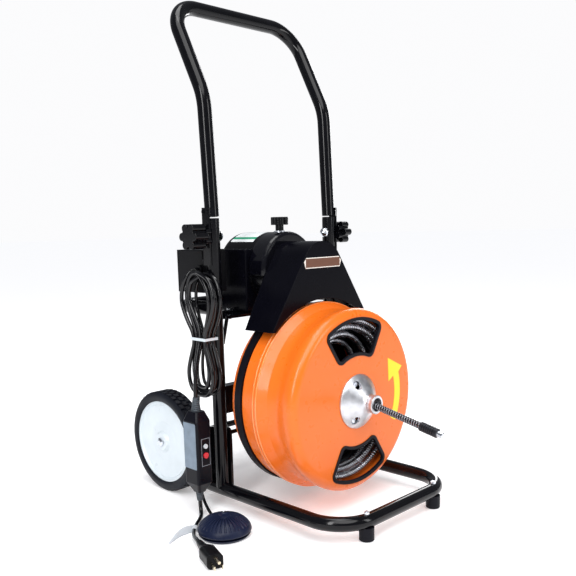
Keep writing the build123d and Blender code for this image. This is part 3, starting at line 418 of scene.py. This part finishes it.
def cable_spring():
    """The close-wound wire between the drum and the coupling, and the dark core inside it."""
    start, end = (along_cable(y) for y in SPRING_Y)
    side = CABLE_AXIS.orthogonal().normalized()
    other = CABLE_AXIS.cross(side)
    steps = 16
    turns = (end - start).length / SPRING_PITCH
    radius = CABLE_R - CABLE_WIRE / 2
    points = []
    for k in range(int(turns * steps) + 1):
        turn = 2 * pi * k / steps
        points.append(start + CABLE_AXIS * (SPRING_PITCH * k / steps)
                      + (side * cos(turn) + other * sin(turn)) * radius)
    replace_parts(wire("cable_spring", points, CABLE_WIRE / 2, "oiled_steel", "cable"), "snake_cable")
    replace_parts(wire("cable_core", [start, end], CABLE_CORE_R, "dark_steel", "cable"), "snake_cable")


def coupling():
    """The grooved black sleeve and the bright pin in its end."""
    start = along_cable(SLEEVE_Y[0])
    length = (along_cable(SLEEVE_Y[1]) - start).length
    profile = [(0, 0), (0, 0.0066), (0.001, SLEEVE_R), (0.005, SLEEVE_R)]
    ribs, first = 6, 0.006
    step = (length - first - 0.004) / ribs
    for rib in range(ribs):
        at = first + rib * step
        profile += [(at, SLEEVE_R), (at + 0.0006, SLEEVE_GROOVE_R), (at + step * 0.35, SLEEVE_GROOVE_R),
                    (at + step * 0.35 + 0.0006, SLEEVE_R), (at + step - 0.0002, SLEEVE_R)]
    profile += [(length - 0.0012, SLEEVE_R), (length, 0.0072), (length, 0)]
    sleeve = lathe("coupling_sleeve", profile, start, CABLE_AXIS, "dark_steel")
    pin_end = (along_cable(PIN_END_Y) - start).length
    pin = lathe("coupling_pin", [(length - 0.001, 0), (length - 0.001, 0.0055), (pin_end - 0.0012, 0.0055),
                                 (pin_end, 0.0044), (pin_end, 0)], start, CABLE_AXIS, "zinc")
    for made in (sleeve, pin):
        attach(made, "cable")
        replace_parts(made, "snake_coupling")


def stored_turn(name, y, ring_r, tilt, wound):
    """One turn of the stored cable: close-wound wire in front, a plain tube where little shows."""
    around = 156 if wound else 16
    steps = 10 if wound else 6
    radius = CABLE_R - STORED_WIRE / 2 if wound else 0.0
    points = []
    for k in range(around * steps):
        angle, turn = 2 * pi * k / (around * steps), 2 * pi * k / steps
        out = ring_r + radius * cos(turn)
        points.append((out * cos(angle), y + radius * sin(turn) + tilt * ring_r * sin(angle + 2.2),
                       DRUM_CENTRE[2] + out * sin(angle)))
    wire_r = STORED_WIRE / 2 if wound else CABLE_R
    made = wire(name, points, wire_r, "spring_steel" if wound else "dark_steel", "drum", True)
    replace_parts(made, "cable_coil")


def stored_cable():
    """Two layers of turns against the drum's wall, and two loose turns inside them."""
    layers = (("outer", STORED_OUTER, 8, 3), ("inner", STORED_INNER, 7, 2))
    for layer, (first_y, ring_r), turns, wound in layers:
        for turn in range(turns):
            stored_turn(f"turn_{layer}_{turn}", first_y + STORED_PITCH * turn, ring_r, 0.0, turn < wound)
    stored_turn("turn_loose_0", -0.080, 0.118, 0.16, True)
    stored_turn("turn_loose_1", -0.062, 0.104, 0.20, True)


def seam_beads():
    """The two rolled beads on the drum's widest band, where its shells meet, coloured a lighter orange than
    the shell as a painted highlight.
    """
    around = 180
    for number, y in enumerate(SEAM_BEADS_Y):
        circle = [(SEAM_BEAD_RING_R * cos(2 * pi * k / around), y,
                   DRUM_CENTRE[2] + SEAM_BEAD_RING_R * sin(2 * pi * k / around)) for k in range(around)]
        wire(f"seam_bead_{number}", circle, SEAM_BEAD_R, "orange_bead", "drum", True)


cable_spring()
coupling()
stored_cable()
seam_beads()


# ---------------------------------------------------------------- safety switch
def switch_panel():
    """The blank blue-grey label on the left face of the safety switch."""
    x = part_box("gfci_body")[0][0]
    corners = [(y, z) for y, z in ((0.0440, 0.094), (0.0452, 0.0925), (0.0768, 0.0925), (0.078, 0.094),
                                   (0.078, 0.176), (0.0768, 0.1775), (0.0452, 0.1775), (0.0440, 0.176))]
    vertices = [(x - t, y, z) for t in (0.0001, 0.0006) for y, z in corners]
    count = len(corners)
    faces = [tuple(range(count)), tuple(range(2 * count - 1, count - 1, -1))]
    faces += [(k, k + count, (k + 1) % count + count, (k + 1) % count) for k in range(count)]
    made = mesh_piece("switch_label", vertices, faces, "label")
    wear(made, plain("panel_print", (0.15, 0.20, 0.26), 0.36, vary=0.15, blotch=60.0, grain=0.2))
    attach(made, "frame")


switch_panel()


# ---------------------------------------------------------------- pedal
def pedal():
    """The dome with its radial ribs round a dished centre."""
    low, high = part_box("pedal_dome")
    cx, cy = (low[0] + high[0]) / 2, (low[1] + high[1]) / 2
    profile = [(0.0, -0.0015), (0.0065, -0.0015), (0.0085, 0.0), (0.0105, 0.0)]
    crown = [(0.0125, -0.0008), (0.017, -0.0014), (0.023, -0.0026), (0.029, -0.0048),
             (0.034, -0.0072), (0.038, -0.0104), (0.041, -0.0132)]
    rim = [(0.0432, -0.0158), (0.0452, -0.0188), (0.0466, -0.0228), (0.0470, -0.0252), (0.0462, None)]
    ribs, samples, relief = 32, 8, 0.0020
    around = ribs * samples
    vertices = []
    for part, points in (("smooth", profile), ("ribbed", crown), ("smooth", rim)):
        for radius, drop in points:
            height = low[2] if drop is None else high[2] + drop
            for k in range(around):
                dip = relief if part == "ribbed" and k % samples in (4, 5, 6) else 0.0
                turn = 2 * pi * k / around
                vertices.append((cx + max(radius, 1e-6) * cos(turn), cy + max(radius, 1e-6) * sin(turn),
                                 height - dip))
    rings = len(profile) + len(crown) + len(rim)
    made = mesh_piece("pedal_ribbed", vertices, ring_faces(rings, around, False), "pedal_plastic", 28.0)
    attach(made, "pedal_top")
    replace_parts(made, "pedal_dome")
    return made


pedal_piece = pedal()


# ---------------------------------------------------------------- cords
def tube(name, points, diameter, slot):
    """A round cord on one smooth curve through its route, given in millimetres."""
    curve = bpy.data.curves.new(name, "CURVE")
    curve.dimensions = "3D"
    curve.bevel_depth = diameter / 2
    curve.bevel_resolution = 4
    curve.resolution_u = 8
    spline = curve.splines.new("NURBS")
    spline.points.add(len(points) - 1)
    for point, place in zip(spline.points, points):
        point.co = (*(v * MM for v in place), 1)
    spline.order_u = 3
    spline.use_endpoint_u = True
    obj = bpy.data.objects.new(name, curve)
    scene.collection.objects.link(obj)
    curve.materials.append(looks[slot])
    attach(obj, "frame")
    return obj


def hank_turn(x, inset, fullness, wave):
    """One turn of the hank: down the right side of its outline and up the left side."""
    outline = HANK_RIGHT + HANK_LEFT
    turn = []
    for i, (y, z) in enumerate(outline):
        before, after = Vector(outline[i - 1]), Vector(outline[(i + 1) % len(outline)])
        way = (after - before).normalized()
        off = abs(z - HANK_WAIST)
        inside = inset + (WAIST_PINCH if off < 1 and inset < WAIST_PINCH * 2 else 0.0)
        full = 1 - (1 - fullness) * min(1.0, off / 60)
        turn.append((x + 0.8 * sin(wave + 1.7 * i), HANK_MIDDLE + (y + way.y * inside - HANK_MIDDLE) * full,
                     HANK_WAIST + (z - way.x * inside - HANK_WAIST) * (0.75 + 0.25 * full)))
    return turn


def tag():
    """The blank care tag: a sleeve round the cord and a flag that stands on its edge on the floor."""
    start, end = Vector((-266, 13.2, 4.3)) * MM, Vector((-276.5, 2.2, 4.4)) * MM
    length = (end - start).length
    sleeve = lathe("tag_sleeve", [(0, CORD_D / 2 + 0.0002), (0, 0.0045), (length, 0.0045),
                                  (length, CORD_D / 2 + 0.0002)], start, end - start, "white_film")
    foot = [(-271, 8.5), (-282, 7.5), (-293, 8.5), (-304, 7.5), (-315, 4.0), (-326, -0.5), (-338, -5.5)]
    tops = [8.6, 12.5, 13.0, 11.5, 9.0, 6.0, 2.0]
    vertices = []
    for (x, y), top in zip(foot, tops):
        for part in (0.0, 0.5, 1.0):
            vertices.append(((x + 3 * part) * MM, (y + 3.5 * part * part) * MM, (0.4 + top * part) * MM))
    faces = [(i * 3 + k, i * 3 + 3 + k, i * 3 + 4 + k, i * 3 + 1 + k)
             for i in range(len(foot) - 1) for k in (0, 1)]
    flag = mesh_piece("tag_flag", vertices, faces, "white_film", 180.0)
    flag.modifiers.new("smooth", "SUBSURF").render_levels = 2
    flag.modifiers.new("thickness", "SOLIDIFY").thickness = 0.0006
    for made in (sleeve, flag):
        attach(made, "frame")
        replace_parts(made, "cord_tag")
    flag.parent = sleeve
    return sleeve


cord_path = [(-172, 92, 447), (-196, 92, 448)]
for number, (x, inset, fullness) in enumerate(CORD_TURNS):
    turn = hank_turn(x, inset, fullness, 2.1 * number)
    cord_path += turn[2:] if number == 0 else turn
cord_path = cord_path[:-1] + [(-192, 74, 449), (-192, 101, 426), (-192, 97, 390),
                               (-192, 76, 356)] + CORD_UPPER
hose_path = [(-172, 112, 436), (-188, 112, 437)]
for number, (x, inset, fullness) in enumerate(HOSE_TURNS):
    turn = hank_turn(x, inset, fullness, 1.3 + 2.4 * number)
    hose_path += turn[2:] if number == 0 else turn
hose_path = hose_path[:-1] + [(-179, 74, 446), (-181, 107, 430), (-182, 114, 396), (-183, 97, 362),
                               (-184, 79, 325), (-185, 86, 292), (-186, 91, 258)] + HOSE

tag_piece = tag()
power_cord = tube("power_cord", cord_path, CORD_D, "cord_jacket")
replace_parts(power_cord, "cord_hank", "power_cord_upper")
plug_cord = tube("plug_cord", CORD_LOWER, CORD_D, "cord_jacket")
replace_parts(plug_cord, "power_cord_lower")
pedal_hose = tube("pedal_hose", hose_path, HOSE_D, "cord_jacket")
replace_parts(pedal_hose, "air_hose", "cord_hank")


# ---------------------------------------------------------------- studio
def floor():
    """A pale matt floor, lit a little from within so that it runs into the white behind it."""
    size = 40.0
    mesh = bpy.data.meshes.new("floor")
    mesh.from_pydata([(-size, -size, 0), (size, -size, 0), (size, size, 0), (-size, size, 0)], [],
                     [(0, 1, 2, 3)])
    obj = bpy.data.objects.new("floor", mesh)
    obj.location.z = -0.0005
    scene.collection.objects.link(obj)
    made = Shader("floor")
    made.set("Base Color", (0.88, 0.88, 0.89, 1))
    made.set("Roughness", 0.7)
    made.set("Specular IOR Level", 0.2)
    made.set("Emission Color", (1, 1, 1, 1))
    made.set("Emission Strength", 0.27)
    obj.data.materials.append(made.material)


def softbox(name, place, target, size, power):
    """A rectangular light at place that faces target."""
    light = bpy.data.lights.new(name, "AREA")
    light.shape = "RECTANGLE"
    light.size, light.size_y = size
    light.energy = power
    obj = bpy.data.objects.new(name, light)
    obj.location = place
    obj.rotation_euler = (Vector(target) - Vector(place)).to_track_quat("-Z", "Y").to_euler()
    scene.collection.objects.link(obj)


floor()
studio_middle = (0, 0, 0.4)
softbox("key_left", (-2.4, -0.9, 1.5), studio_middle, (0.5, 1.8), 34)
softbox("front", (0.9, -2.5, 1.3), studio_middle, (0.5, 1.6), 16)
softbox("top", (0.0, 0.0, 2.9), studio_middle, (1.2, 1.2), 22)
softbox("right_rim", (2.3, 1.0, 1.2), studio_middle, (0.5, 2.0), 22)

daylight = bpy.data.lights.new("overhead", "SUN")
daylight.energy = 2.3
daylight.angle = radians(50)
daylight_object = bpy.data.objects.new("overhead", daylight)
daylight_object.rotation_euler = (radians(26), radians(-20), 0)
scene.collection.objects.link(daylight_object)

# the camera sees a white backdrop; every other ray gets a dimmer, softly blue light
world = bpy.data.worlds.new("studio")
world.use_nodes = True
tree = world.node_tree
soft = tree.nodes["Background"]
soft.inputs[0].default_value = (0.90, 0.93, 1.0, 1)
soft.inputs[1].default_value = 0.24
seen = tree.nodes.new("ShaderNodeBackground")
seen.inputs[0].default_value = (0.97, 0.97, 0.98, 1)
choice = tree.nodes.new("ShaderNodeMixShader")
rays = tree.nodes.new("ShaderNodeLightPath")
for source, target in ((rays.outputs["Is Camera Ray"], choice.inputs[0]),
                       (soft.outputs[0], choice.inputs[1]), (seen.outputs[0], choice.inputs[2]),
                       (choice.outputs[0], tree.nodes["World Output"].inputs[0])):
    tree.links.new(source, target)
scene.world = world
scene.view_settings.view_transform = "Standard"

camera = bpy.data.cameras.new("camera")
camera.sensor_width = 36
camera.lens = 45.75
camera.shift_x, camera.shift_y = 0.0171, 0.1254
camera_object = bpy.data.objects.new("camera", camera)
right, up, back = (0.7110, -0.7027, -0.0242), (0.1430, 0.1108, 0.9835), (-0.6885, -0.7028, 0.1793)
camera_object.matrix_world = (Matrix.Translation((-1.0055, -0.9605, 0.5197))
                              @ Matrix((right, up, back)).transposed().to_4x4())
scene.collection.objects.link(camera_object)
scene.camera = camera_object
